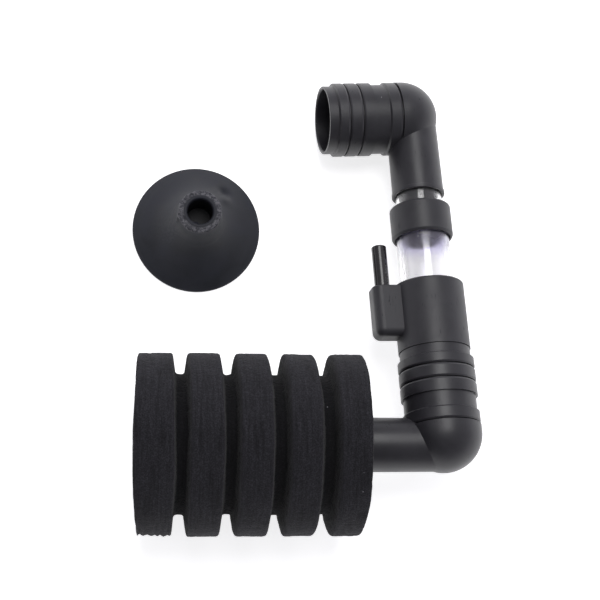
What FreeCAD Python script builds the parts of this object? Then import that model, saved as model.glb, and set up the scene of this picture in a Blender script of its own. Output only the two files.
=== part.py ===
import FreeCAD, Part
import math
import os

import Sketcher

from FreeCAD import Placement, Rotation, Vector

# An air-driven sponge filter, lying on its side as it comes out of the packet, in millimetres.
#
# The foam cylinder lies on the surface with its axis along X. A slotted strainer runs through it
# and plugs into the small leg of the base elbow. The riser leaves the elbow's large leg, roughly
# along +Y: air injector, clear outer tube with a black collar, clear inner tube that telescopes,
# and the outlet elbow, which is the base elbow's moulding used again. The riser droops, because
# the outlet elbow rests on the surface as well. The suction cup stands loose beside the riser.
# The origin is at the middle of the bottom of the box around all of it.

os.makedirs("parts", exist_ok=True)
document = FreeCAD.newDocument("sponge_filter")


# ---- driving dimensions ---------------------------------------------------------------------

sheet = document.addObject("Spreadsheet::Sheet", "dims")
sheet.Label = "dims"

DRIVING_DIMENSIONS = [
    # the foam: discs left standing between cut grooves
    ("foam_radius", 30.0, "outside of the foam discs"),
    ("foam_length", 73.0, "length of the foam cylinder"),
    ("foam_bore_radius", 8.8, "hole the strainer passes through"),
    ("foam_seat_radius", 9.7, "wider hole where the elbow's leg enters the foam"),
    ("foam_seat_depth", 2.8, "depth of that wider hole"),
    ("groove_count", 4, "grooves cut round the foam"),
    ("groove_mouth", 4.6, "groove width at the outside"),
    ("groove_floor", 2.8, "groove width at the bottom"),
    ("groove_depth", 7.0, "depth of each groove"),
    # the elbow moulding, used twice; heights run along the large leg from where the axes cross
    ("elbow_angle", 87.5, "degrees between the two legs"),
    ("dome_radius", 13.1, "outside of the rounded heel"),
    ("dome_height", 3.8, "height of the heel's centre"),
    ("barb_radius", 13.0, "crest of the barbs"),
    ("barb_first", 25.4, "mouth side of the cut under the first barb"),
    ("barb_pitch", 4.8, "distance from one cut to the next"),
    ("barb_slot", 0.5, "width of a cut"),
    ("barb_root_radius", 12.05, "bottom of a cut"),
    ("barb_shoulder_radius", 12.75, "where the slopes beside a cut end"),
    ("barb_slope", 0.5, "length of those slopes, and of the slope that ends a band"),
    ("mouth_land", 3.3, "from the first cut to where the first crest ends"),
    ("heel_barb_edge", 6.35, "mouth side of the cut next to the heel"),
    ("heel_land", 3.8, "from that cut to where the last barb's crest ends"),
    ("waist_radius", 12.3, "plain stretch between the third and the last barb"),
    ("mouth_radius", 12.0, "outside of the large mouth"),
    ("large_leg", 32.4, "height of the large mouth"),
    ("large_bore", 10.9, "socket in the large leg"),
    ("large_socket_floor", 12.0, "height of the socket's step"),
    ("heel_bore", 10.2, "round hollow inside the heel"),
    ("small_leg", 30.5, "length of the small leg from where the axes cross"),
    ("small_root_radius", 8.9, "small leg beside the heel"),
    ("small_mouth_radius", 9.2, "small leg near its mouth"),
    ("small_rim_step", 0.12, "how far the mouth's rim stands proud of the leg's taper"),
    ("small_rim_width", 1.2, "width of that rim"),
    ("elbow_lip", 0.12, "broken edge round each mouth of the elbow"),
    ("small_socket", 8.15, "socket in the small leg"),
    ("small_socket_depth", 15.0, "depth of that socket"),
    ("small_bore", 7.2, "passage beyond the socket"),
    # the riser; heights run along its axis from the base elbow
    ("riser_offset", 28.4, "riser axis from the foam's end face"),
    ("riser_height", 120.5, "height of the outlet elbow's crossing axes"),
    ("outlet_pan", 4.0, "degrees the outlet is turned up about the riser"),
    ("injector_pan", 5.0, "degrees the air inlet is turned up about the riser"),
    ("spigot_radius", 10.85, "injector end inside the base elbow"),
    ("spigot_length", 14.0, "length of that end"),
    ("shoulder_gap", 0.05, "line of daylight between the injector and the elbow's mouth"),
    ("injector_radius", 12.3, "outside of the injector"),
    ("injector_top", 56.2, "upper rim of the injector"),
    ("injector_bore", 8.2, "water way through the injector"),
    ("injector_socket", 9.25, "socket for the outer tube"),
    ("injector_socket_floor", 42.0, "height of that socket's floor"),
    ("block_reach", 20.6, "outer face of the air block from the riser axis"),
    ("block_width", 9.8, "width of the air block"),
    ("block_low", 37.3, "underside of the air block"),
    ("block_high", 55.2, "top of the air block"),
    ("block_corner", 3.0, "rounding of the air block"),
    ("inlet_reach", 16.3, "air inlet axis from the riser axis"),
    ("inlet_radius", 2.6, "outside of the air inlet tube"),
    ("inlet_seat_radius", 2.35, "turned-down end of that tube inside the block"),
    ("inlet_bore", 1.5, "air way"),
    ("inlet_seat", 6.0, "length of the inlet tube inside the block"),
    ("inlet_top", 70.7, "upper end of the air inlet tube"),
    ("air_jet_height", 40.0, "cross channel that lets the air into the riser"),
    ("outer_tube_radius", 9.2, "outside of the wide clear tube"),
    ("outer_tube_bore", 8.18, "inside of the wide clear tube"),
    ("outer_tube_low", 42.2, "lower end of the wide clear tube"),
    ("outer_tube_high", 83.6, "upper end of the wide clear tube, inside the collar"),
    ("collar_radius", 10.7, "outside of the collar"),
    ("collar_low", 73.6, "lower rim of the collar"),
    ("collar_high", 85.3, "upper rim of the collar"),
    ("collar_flare", 9.75, "lower mouth of the collar"),
    ("inner_tube_radius", 8.1, "outside of the narrow clear tube"),
    ("inner_tube_bore", 7.0, "inside of the narrow clear tube"),
    ("inner_tube_low", 49.0, "lower end of the narrow clear tube"),
    # the strainer, measured along its axis from the foam's end face
    ("core_radius", 8.4, "outside of the strainer"),
    ("core_bore", 6.9, "inside of the strainer"),
    ("core_far_end", 64.0, "closed end of the strainer, from the foam's end face"),
    ("core_spigot_radius", 8.1, "strainer end inside the elbow's small leg"),
    ("core_spigot_length", 14.0, "length of that end"),
    ("slot_length", 15.0, "length of a water slot"),
    ("slot_width", 2.2, "width of a water slot"),
    ("slot_rows", 3, "rows of slots along the strainer"),
    ("slot_row_pitch", 18.5, "distance between rows"),
    ("slots_around", 8, "slots in one row"),
    ("cap_thickness", 2.0, "flange of the end cap"),
    ("cap_plug_length", 5.0, "part of the end cap inside the strainer"),
    ("nub_neck_radius", 2.9, "narrow neck of the suction cup stud"),
    ("nub_neck_length", 3.0, "length of that neck"),
    ("nub_radius", 4.1, "head of the suction cup stud"),
    ("nub_length", 3.6, "length of that head"),
    # the loose suction cup
    ("cup_x", -53.0, "cup centre from the foam's end face"),
    ("cup_y", 79.4, "cup centre from the foam's axis"),
    ("cup_radius", 22.6, "rim of the suction cup"),
    ("cup_rim", 0.9, "thickness of the rim"),
    ("cup_height", 27.0, "top of the cup's neck"),
    ("cup_neck_radius", 7.5, "outside of the neck"),
    ("cup_shoulder", 15.0, "height where the cone meets the neck"),
    ("cup_hole_radius", 4.35, "hole that takes the stud"),
    ("cup_hole_depth", 11.0, "depth of that hole"),
    ("cup_hollow", 8.5, "height of the hollow under the cup"),
]

for row, (alias, number, meaning) in enumerate(DRIVING_DIMENSIONS, start=1):
    sheet.set(f"A{row}", alias)
    sheet.set(f"B{row}", str(number))
    sheet.set(f"C{row}", meaning)
    sheet.setAlias(f"B{row}", alias)
document.recompute()


PUSH_FIT = 0.05   # radial room between pieces that are pushed together


class Size:
    """A number that remembers the sheet formula it comes from."""

    def __init__(self, number, formula):
        self.number = float(number)
        self.formula = formula

    def __add__(self, other):
        other = as_size(other)
        return Size(self.number + other.number, f"({self.formula} + {other.formula})")

    def __sub__(self, other):
        other = as_size(other)
        return Size(self.number - other.number, f"({self.formula} - {other.formula})")

    def __mul__(self, other):
        other = as_size(other)
        return Size(self.number * other.number, f"({self.formula} * {other.formula})")

    def __neg__(self):
        return Size(-self.number, f"(0 - {self.formula})")


def as_size(value):
    """A plain number becomes a Size whose formula is the number itself."""
    return value if isinstance(value, Size) else Size(value, str(value))


def dim(alias):
    """The named driving dimension, with its cell as its formula."""
    return Size(getattr(sheet, alias), f"dims.{alias}")


# ---- sketches and features ------------------------------------------------------------------

def new_body(label):
    """An empty body that will hold one physical piece."""
    body = document.addObject("PartDesign::Body", label)
    body.Label = label
    return body


def origin_plane(body, role):
    """One of the body's own origin planes or axes, found by its role."""
    return next(item for item in body.Origin.OriginFeatures if item.Role == role)


def new_sketch(body, name, role, tilt=None, lift=None):
    """A sketch on an origin plane, turned in that plane by tilt and raised from it by lift."""
    sketch = body.newObject("Sketcher::SketchObject", name)
    sketch.AttachmentSupport = [(origin_plane(body, role), "")]
    sketch.MapMode = "FlatFace"
    angle = tilt.number if tilt else 0.0
    height = lift.number if lift else 0.0
    sketch.AttachmentOffset = Placement(Vector(0, 0, height), Rotation(Vector(0, 0, 1), angle))
    if tilt:
        sketch.setExpression("AttachmentOffset.Rotation.Angle", tilt.formula)
    if lift:
        sketch.setExpression("AttachmentOffset.Base.z", lift.formula)
    return sketch


def pin_coordinate(sketch, edge, corner, axis, size):
    """Hold one coordinate of a sketch point at a size; a zero puts it on the other axis."""
    if size.number == 0.0:
        line = -2 if axis == "X" else -1
        sketch.addConstraint([Sketcher.Constraint("PointOnObject", edge, corner, line)])
        return
    index = sketch.addConstraint(
        Sketcher.Constraint(f"Distance{axis}", -1, 1, edge, corner, size.number))
    sketch.setExpression(f"Constraints[{index}]", size.formula)


def draw_outline(sketch, points):
    """Draw a closed outline and hold every corner with sizes from the sheet.

    A point is (x, y). An entry (x, y, "about", centre x, centre y, turn, held) is reached by an
    arc about that centre, turn being 1 for anticlockwise and -1 for clockwise, and only its held
    coordinate ("X" or "Y") is fixed, because the arc settles the other.
    """
    corners = [(as_size(entry[0]), as_size(entry[1])) for entry in points]
    count = len(points)
    for index in range(count):
        start = corners[index]
        end = corners[(index + 1) % count]
        entry = points[(index + 1) % count]
        first = Vector(start[0].number, start[1].number, 0)
        last = Vector(end[0].number, end[1].number, 0)
        if len(entry) == 2:
            sketch.addGeometry(Part.LineSegment(first, last), False)
            continue
        centre = Vector(as_size(entry[3]).number, as_size(entry[4]).number, 0)
        circle = Part.Circle(centre, Vector(0, 0, 1), (first - centre).Length)
        angles = [math.atan2(p.y - centre.y, p.x - centre.x) for p in (first, last)]
        if entry[5] < 0:
            angles.reverse()
        sketch.addGeometry(Part.ArcOfCircle(circle, angles[0], angles[1]), False)

    for index in range(count):
        arrives = points[index]
        leaves = points[(index + 1) % count]
        start_point = 2 if len(leaves) > 2 and leaves[5] < 0 else 1
        end_point = 1 if len(arrives) > 2 and arrives[5] < 0 else 2
        previous = (index - 1) % count
        sketch.addConstraint(
            Sketcher.Constraint("Coincident", previous, end_point, index, start_point))
        held = arrives[6] if len(arrives) > 2 else "XY"
        if "X" in held:
            pin_coordinate(sketch, index, start_point, "X", corners[index][0])
        if "Y" in held:
            pin_coordinate(sketch, index, start_point, "Y", corners[index][1])
        if len(leaves) > 2:
            pin_coordinate(sketch, index, 3, "X", as_size(leaves[3]))
            pin_coordinate(sketch, index, 3, "Y", as_size(leaves[4]))


def turn_profile(body, name, points, cut=False, tilt=None):
    """Turn a (radius, height) outline about the height axis, to add material or to cut it."""
    sketch = new_sketch(body, f"{name}_sketch", "XZ_Plane", tilt=tilt)
    draw_outline(sketch, points)
    document.recompute()
    before = body.Shape.Volume if body.Tip else 0.0
    feature = body.newObject("PartDesign::Groove" if cut else "PartDesign::Revolution", name)
    feature.Profile = sketch
    feature.ReferenceAxis = (sketch, ["V_Axis"])
    feature.Angle = 360.0
    sketch.Visibility = False
    document.recompute()
    change = body.Shape.Volume - before
    if (change >= 0) if cut else (change <= 0):
        raise RuntimeError(f"{name} did nothing")
    return feature


def extrude_profile(body, name, sketch, length, cut=False, reverse=False):
    """Pad or pocket a sketch by a length, and prove that it did something."""
    document.recompute()
    before = body.Shape.Volume
    feature = body.newObject("PartDesign::Pocket" if cut else "PartDesign::Pad", name)
    feature.Profile = sketch
    feature.Length = length.number
    feature.setExpression("Length", length.formula)
    feature.Reversed = reverse
    sketch.Visibility = False
    document.recompute()
    change = body.Shape.Volume - before
    if (change >= 0) if cut else (change <= 0):
        raise RuntimeError(f"{name} did nothing")
    return feature


# ---- where things are -----------------------------------------------------------------------

def droop_of_riser():
    """Droop of the riser in radians that lets the outlet elbow's heel touch the surface."""
    angle = math.radians(sheet.elbow_angle)
    pan = math.radians(sheet.outlet_pan)
    droop = 0.1
    for _ in range(30):
        outlet_rise = (2 * math.cos(angle) * math.sin(angle) * math.sin(droop) * math.cos(pan / 2) ** 2
                       + math.sin(angle) * math.sin(pan) * math.cos(droop))
        drop = sheet.foam_radius - sheet.dome_radius + sheet.dome_height * outlet_rise
        droop = math.asin(drop / (sheet.riser_height * math.sin(angle)))
    return droop


def frame_from(origin, x_axis, z_axis):
    """Placement whose local Z runs along z_axis and whose local X lies nearest x_axis."""
    z_axis = Vector(z_axis).normalize()
    x_axis = (x_axis - z_axis * x_axis.dot(z_axis)).normalize()
    return Placement(origin, Rotation(x_axis, z_axis.cross(x_axis), z_axis, "ZXY"))


corner_angle = math.radians(sheet.elbow_angle)
droop = droop_of_riser()
sponge_axis = Vector(1, 0, 0)
across = Vector(0, math.cos(droop), -math.sin(droop))
riser_axis = across * math.sin(corner_angle) - sponge_axis * math.cos(corner_angle)

box_left = min(-sheet.foam_length, sheet.cup_x - sheet.cup_radius)
box_right = sheet.riser_offset - sheet.dome_height * math.cos(corner_angle) + sheet.dome_radius
heel = riser_axis * sheet.riser_height
turned = Rotation(riser_axis, sheet.outlet_pan)
outlet_axis = turned.multVec(
    (-sponge_axis + riser_axis * sponge_axis.dot(riser_axis)).normalize()) * math.sin(corner_angle)
outlet_axis = outlet_axis - riser_axis * math.cos(corner_angle)
box_far = (heel + outlet_axis * sheet.dome_height).y + sheet.dome_radius
middle = Vector((box_left + box_right) / 2, (box_far - sheet.foam_radius) / 2, 0)

foam_end = Vector(0, 0, sheet.foam_radius) - middle
riser_foot = foam_end + sponge_axis * sheet.riser_offset
riser_top = riser_foot + riser_axis * sheet.riser_height

SPONGE_FRAME = frame_from(foam_end, Vector(0, 0, 1), sponge_axis)
RISER_FRAME = frame_from(riser_foot, sponge_axis, riser_axis)
OUTLET_FRAME = frame_from(riser_top, riser_axis, outlet_axis)
CUP_FRAME = Placement(Vector(sheet.cup_x, sheet.cup_y, 0) - middle, Rotation())


# ---- the foam -------------------------------------------------------------------------------

def make_foam_sponge():
    """One cylinder of foam with a through hole and tapered grooves cut round it."""
    body = new_body("foam_sponge")
    radius = dim("foam_radius")
    floor = radius - dim("groove_depth")
    half_mouth = dim("groove_mouth") * 0.5
    half_floor = dim("groove_floor") * 0.5
    grooves = int(sheet.groove_count)
    disc = (dim("foam_length") - dim("groove_mouth") * grooves) * (1.0 / (grooves + 1))
    outline = [
        (dim("foam_bore_radius"), -dim("foam_length")),
        (radius, -dim("foam_length")),
    ]
    for index in range(grooves):
        middle_of_groove = (disc * (index + 1) + dim("groove_mouth") * (index + 0.5)
                            - dim("foam_length"))
        outline += [
            (radius, middle_of_groove - half_mouth),
            (floor, middle_of_groove - half_floor),
            (floor, middle_of_groove + half_floor),
            (radius, middle_of_groove + half_mouth),
        ]
    outline += [
        (radius, 0.0),
        (dim("foam_seat_radius"), 0.0),
        (dim("foam_seat_radius"), -dim("foam_seat_depth")),
        (dim("foam_bore_radius"), -dim("foam_seat_depth")),
    ]
    turn_profile(body, "grooved_cylinder", outline)
    body.Placement = SPONGE_FRAME
    return body


# ---- the elbow moulding ---------------------------------------------------------------------

def make_elbow(label, placement):
    """Barbed large leg, rounded heel and plain small leg, hollow throughout."""
    body = new_body(label)
    crest = dim("barb_radius")
    root = dim("barb_root_radius")
    shoulder = dim("barb_shoulder_radius")
    slot = dim("barb_slot")
    slope = dim("barb_slope")
    heel_centre = dim("dome_height")
    heel_edge = dim("heel_barb_edge")
    heel_top = heel_edge + dim("heel_land")
    first_edge = dim("barb_first")
    third_edge = first_edge - dim("barb_pitch") * 2
    lip = dim("elbow_lip")

    outline = [
        (0.0, heel_centre - dim("dome_radius")),
        (dim("dome_radius"), heel_centre, "about", 0.0, heel_centre, 1, "Y"),
        (dim("dome_radius"), heel_edge - slot),
        (root, heel_edge - slot),
        (root, heel_edge),
        (shoulder, heel_edge),
        (crest, heel_edge + slope),
        (crest, heel_top),
        (dim("waist_radius"), heel_top + slope),
        (dim("waist_radius"), third_edge),
        (crest, third_edge),
    ]
    for edge in (first_edge - dim("barb_pitch"), first_edge):
        outline += [
            (crest, edge - slot - slope),
            (shoulder, edge - slot),
            (root, edge - slot),
            (root, edge),
            (shoulder, edge),
            (crest, edge + slope),
        ]
    outline += [
        (crest, first_edge + dim("mouth_land")),
        (dim("mouth_radius"), first_edge + dim("mouth_land") + slope),
        (dim("mouth_radius"), dim("large_leg") - lip),
        (dim("mouth_radius") - lip, dim("large_leg")),
        (0.0, dim("large_leg")),
    ]
    turn_profile(body, "large_leg", outline)

    leg = dim("small_leg")
    step = dim("small_rim_step")
    rim = dim("small_mouth_radius") + step
    rim_foot = leg - dim("small_rim_width")
    turn_profile(body, "small_leg", [
        (0.0, 0.0),
        (dim("small_root_radius"), 0.0),
        (dim("small_mouth_radius") - step, rim_foot - lip),
        (rim, rim_foot),
        (rim, leg - lip),
        (rim - lip, leg),
        (0.0, leg),
    ], tilt=dim("elbow_angle"))

    mouth_height = dim("large_leg")
    turn_profile(body, "large_bore", [
        (0.0, heel_centre - dim("heel_bore")),
        (dim("heel_bore"), heel_centre, "about", 0.0, heel_centre, 1, "Y"),
        (dim("heel_bore"), dim("large_socket_floor")),
        (dim("large_bore"), dim("large_socket_floor")),
        (dim("large_bore"), mouth_height - 0.5),
        (dim("large_bore") + 0.3, mouth_height),
        (dim("large_bore") + 0.3, mouth_height + 1.0),
        (0.0, mouth_height + 1.0),
    ], cut=True)

    socket_floor = leg - dim("small_socket_depth")
    turn_profile(body, "small_bore", [
        (0.0, 0.0),
        (dim("small_bore"), 0.0),
        (dim("small_bore"), socket_floor),
        (dim("small_socket"), socket_floor),
        (dim("small_socket"), leg - 0.4),
        (dim("small_socket") + 0.3, leg),
        (dim("small_socket") + 0.3, leg + 1.0),
        (0.0, leg + 1.0),
    ], cut=True, tilt=dim("elbow_angle"))
    body.Placement = placement
    return body


# ---- the air injector -----------------------------------------------------------------------

def make_air_injector():
    """Riser section with a plug-in lower end, a socket on top and a block for the air inlet."""
    body = new_body("air_injector")
    low = dim("large_leg") - dim("spigot_length")
    shoulder = dim("large_leg") + dim("shoulder_gap")
    radius = dim("injector_radius")
    top = dim("injector_top")
    round_over = 0.8
    turn_profile(body, "barrel", [
        (0.0, low),
        (dim("spigot_radius") - 0.5, low),
        (dim("spigot_radius"), low + 0.6),
        (dim("spigot_radius"), shoulder),
        (radius, shoulder),
        (radius, top - round_over),
        (radius - round_over, top, "about", radius - round_over, top - round_over, 1, "X"),
        (0.0, top),
    ])

    half = dim("block_width") * 0.5
    corner = dim("block_corner")
    reach = dim("block_reach")
    inner = dim("injector_radius") * 0.6
    block_sketch = new_sketch(body, "air_block_sketch", "XY_Plane", lift=dim("block_low"))
    draw_outline(block_sketch, [
        (-inner, -half),
        (-inner, half),
        (corner - reach, half),
        (-reach, half - corner, "about", corner - reach, half - corner, 1, "Y"),
        (-reach, corner - half),
        (corner - reach, -half, "about", corner - reach, corner - half, 1, "X"),
    ])
    extrude_profile(body, "air_block", block_sketch, dim("block_high") - dim("block_low"))
    soften_block(body)

    turn_profile(body, "water_way", [
        (0.0, low - 1.0),
        (dim("injector_bore"), low - 1.0),
        (dim("injector_bore"), dim("injector_socket_floor")),
        (dim("injector_socket"), dim("injector_socket_floor")),
        (dim("injector_socket"), top - 0.5),
        (dim("injector_socket") + 0.5, top),
        (dim("injector_socket") + 0.5, top + 1.0),
        (0.0, top + 1.0),
    ], cut=True)

    drill(body, "inlet_seat", "XY_Plane", dim("block_high"), -dim("inlet_reach"), as_size(0.0),
          dim("inlet_seat_radius") + PUSH_FIT, dim("inlet_seat"))
    drill(body, "air_way", "XY_Plane", dim("block_high"), -dim("inlet_reach"), as_size(0.0),
          dim("inlet_bore"), dim("block_high") - dim("air_jet_height") + dim("inlet_bore"))
    drill(body, "air_jet", "YZ_Plane", as_size(0.0), as_size(0.0), dim("air_jet_height"),
          dim("inlet_bore"), dim("inlet_reach"))
    body.Placement = RISER_FRAME.multiply(
        Placement(Vector(), Rotation(Vector(0, 0, 1), sheet.injector_pan)))
    return body


def soften_block(body):
    """Round the air block's lower outer edges and the rim of its top."""
    def on_the_block(edge):
        box = edge.BoundBox
        outside = box.Center.x < -(sheet.injector_radius + 0.8)
        level = box.ZLength < 0.01
        return outside and level

    for name, height, radius in (("block_underside", sheet.block_low, 2.6),
                                 ("block_top", sheet.block_high, 0.45)):
        names = [f"Edge{index}" for index, edge in enumerate(body.Shape.Edges, start=1)
                 if on_the_block(edge) and abs(edge.BoundBox.Center.z - height) < 0.01]
        sharp = body.Tip
        fillet = body.newObject("PartDesign::Fillet", name)
        fillet.Base = (sharp, names)
        fillet.Radius = radius
        document.recompute()


def drill(body, name, role, lift, x, y, radius, depth):
    """A round pocket from a raised origin plane, down into the body."""
    sketch = new_sketch(body, f"{name}_sketch", role, lift=lift)
    circle = Part.Circle(Vector(x.number, y.number, 0), Vector(0, 0, 1), radius.number)
    sketch.addGeometry(circle, False)
    pin_coordinate(sketch, 0, 3, "X", x)
    pin_coordinate(sketch, 0, 3, "Y", y)
    index = sketch.addConstraint(Sketcher.Constraint("Radius", 0, radius.number))
    sketch.setExpression(f"Constraints[{index}]", radius.formula)
    extrude_profile(body, name, sketch, depth, cut=True)


def make_air_inlet():
    """Straight tube that the air line pushes onto, its turned-down end set into the block."""
    body = new_body("air_inlet")
    low = dim("block_high") - dim("inlet_seat") + PUSH_FIT
    shoulder = dim("block_high") + PUSH_FIT
    top = dim("inlet_top")
    radius = dim("inlet_radius")
    rounding = 0.5
    turn_profile(body, "tube", [
        (dim("inlet_bore"), low),
        (dim("inlet_seat_radius"), low),
        (dim("inlet_seat_radius"), shoulder),
        (radius, shoulder),
        (radius, top - rounding),
        (radius - rounding, top, "about", radius - rounding, top - rounding, 1, "X"),
        (dim("inlet_bore"), top),
    ])
    beside = Placement(Vector(-sheet.inlet_reach, 0, 0), Rotation())
    body.Placement = RISER_FRAME.multiply(
        Placement(Vector(), Rotation(Vector(0, 0, 1), sheet.injector_pan))).multiply(beside)
    return body


# ---- the telescoping riser ------------------------------------------------------------------

def make_clear_tube(label, radius, bore, low, high):
    """Plain clear tube with lightly broken edges."""
    body = new_body(label)
    edge = 0.2
    turn_profile(body, "tube", [
        (bore + edge, low),
        (radius - edge, low),
        (radius, low + edge),
        (radius, high - edge),
        (radius - edge, high),
        (bore + edge, high),
        (bore, high - edge),
        (bore, low + edge),
    ])
    body.Placement = RISER_FRAME
    return body


def make_collar():
    """Black ring on the wide tube; its upper lip guides the narrow one."""
    body = new_body("riser_collar")
    radius = dim("collar_radius")
    low = dim("collar_low")
    high = dim("collar_high")
    seat = dim("outer_tube_radius") + PUSH_FIT
    lip = dim("inner_tube_radius") + PUSH_FIT
    round_over = 0.9
    turn_profile(body, "ring", [
        (dim("collar_flare"), low),
        (radius - 0.45, low),
        (radius, low + 0.8),
        (radius, high - round_over),
        (radius - round_over, high, "about", radius - round_over, high - round_over, 1, "X"),
        (lip + 0.3, high),
        (lip, high - 0.4),
        (lip, dim("outer_tube_high") + PUSH_FIT),
        (seat, dim("outer_tube_high") + PUSH_FIT),
        (seat, low + 1.6),
    ])
    body.Placement = RISER_FRAME
    return body


# ---- the strainer ---------------------------------------------------------------------------

def make_strainer():
    """Slotted tube inside the foam; its bare end plugs into the base elbow."""
    body = new_body("strainer_tube")
    far = -dim("core_far_end")
    mouth = dim("riser_offset") - dim("small_leg")
    shoulder = mouth - 0.3
    tip = mouth + dim("core_spigot_length")
    radius = dim("core_radius")
    spigot = dim("core_spigot_radius")
    bore = dim("core_bore")
    turn_profile(body, "tube", [
        (bore, far),
        (radius, far),
        (radius, shoulder),
        (spigot, shoulder),
        (spigot, tip - 0.5),
        (spigot - 0.4, tip),
        (bore, tip),
    ])

    rows = int(sheet.slot_rows)
    half_length = dim("slot_length") * 0.5
    half_width = dim("slot_width") * 0.5
    centre = (shoulder - dim("core_far_end")) * 0.5
    straight = half_length - half_width
    for row in range(rows):
        along = centre + dim("slot_row_pitch") * (row - (rows - 1) / 2)
        sketch = new_sketch(body, f"slot_{row}_sketch", "XZ_Plane")
        draw_outline(sketch, [
            (half_width, along - straight, "about", 0.0, along - straight, 1, "Y"),
            (half_width, along + straight),
            (-half_width, along + straight, "about", 0.0, along + straight, 1, "Y"),
            (-half_width, along - straight),
        ])
        pocket = extrude_profile(body, f"slot_{row}", sketch, radius + 1.0, cut=True)
        before = body.Shape.Volume
        ring = body.newObject("PartDesign::PolarPattern", f"slot_ring_{row}")
        ring.Originals = [pocket]
        ring.Axis = (origin_plane(body, "Z_Axis"), [""])
        ring.Angle = 360.0
        ring.Occurrences = int(sheet.slots_around)
        body.Tip = ring
        document.recompute()
        if body.Shape.Volume >= before:
            raise RuntimeError("the ring of slots cut nothing")
    body.Placement = SPONGE_FRAME
    return body


def make_end_cap():
    """Plug that closes the strainer and carries the stud for the suction cup."""
    body = new_body("strainer_end_cap")
    seat = -dim("core_far_end")
    flange = seat - dim("cap_thickness")
    neck = flange - dim("nub_neck_length")
    tip = neck - dim("nub_length")
    head = dim("nub_radius")
    rounding = 0.9
    turn_profile(body, "cap", [
        (0.0, tip),
        (head - rounding, tip),
        (head, tip + rounding, "about", head - rounding, tip + rounding, 1, "Y"),
        (head, neck - 0.3),
        (head - 0.3, neck),
        (dim("nub_neck_radius"), neck),
        (dim("nub_neck_radius"), flange),
        (dim("core_radius"), flange),
        (dim("core_radius"), seat),
        (dim("core_bore") - PUSH_FIT, seat),
        (dim("core_bore") - PUSH_FIT, seat + dim("cap_plug_length") - 0.5),
        (dim("core_bore") - 0.5, seat + dim("cap_plug_length")),
        (0.0, seat + dim("cap_plug_length")),
    ])
    body.Placement = SPONGE_FRAME
    return body


# ---- the suction cup ------------------------------------------------------------------------

def make_suction_cup():
    """Rubber cup: thin rim, hollow underside, cone and a short neck with a blind hole."""
    body = new_body("suction_cup")
    rim = dim("cup_radius")
    top = dim("cup_height")
    neck = dim("cup_neck_radius")
    shoulder = dim("cup_shoulder")
    turn_profile(body, "cup", [
        (0.0, dim("cup_hollow")),
        (rim * 0.45, dim("cup_hollow") * 0.72),
        (rim * 0.8, dim("cup_hollow") * 0.28),
        (rim - 1.0, 0.0),
        (rim, 0.0),
        (rim, dim("cup_rim")),
        (rim * 0.72, shoulder * 0.36),
        (rim * 0.5, shoulder * 0.66),
        (neck + 0.4, shoulder),
        (neck, shoulder + 1.2),
        (neck - 0.2, top - 0.6),
        (neck - 0.8, top),
        (dim("cup_hole_radius") + 0.3, top),
        (dim("cup_hole_radius"), top - 0.4),
        (dim("cup_hole_radius"), top - dim("cup_hole_depth")),
        (0.0, top - dim("cup_hole_depth")),
    ])
    body.Placement = CUP_FRAME
    return body


# ---- assembly, checks and export ------------------------------------------------------------

pieces = [
    make_foam_sponge(),
    make_strainer(),
    make_end_cap(),
    make_elbow("base_elbow", RISER_FRAME),
    make_air_injector(),
    make_air_inlet(),
    make_clear_tube("outer_riser_tube", dim("outer_tube_radius"), dim("outer_tube_bore"),
                    dim("outer_tube_low"), dim("outer_tube_high")),
    make_collar(),
    make_clear_tube("inner_riser_tube", dim("inner_tube_radius"), dim("inner_tube_bore"),
                    dim("inner_tube_low"), dim("riser_height") - dim("small_leg")
                    + dim("small_socket_depth") - 0.3),
    make_elbow("outlet_elbow", OUTLET_FRAME),
    make_suction_cup(),
]
document.recompute()

for item in document.Objects:
    if any(word in state for state in item.State for word in ("Invalid", "Error")):
        raise RuntimeError(f"{item.Label} failed: {item.State}")
for piece in pieces:
    shape = piece.Shape
    if shape.isNull() or not shape.isValid() or len(shape.Solids) != 1:
        raise RuntimeError(f"{piece.Label} is not one valid solid")

whole = FreeCAD.BoundBox()
for piece in pieces:
    piece.Shape.exportStep(f"parts/{piece.Label}.step")
    whole.add(piece.Shape.BoundBox)
    print(f"{piece.Label:18s} {piece.Shape.Volume / 1000:8.3f} cm3")
print(f"box {whole.XMin:.3f} {whole.YMin:.3f} {whole.ZMin:.3f} "
      f"to {whole.XMax:.3f} {whole.YMax:.3f} {whole.ZMax:.3f}")
print(f"droop of the riser {math.degrees(droop):.3f} degrees")
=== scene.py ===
import math

import bpy
import numpy as np
from mathutils import Matrix, Vector


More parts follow.
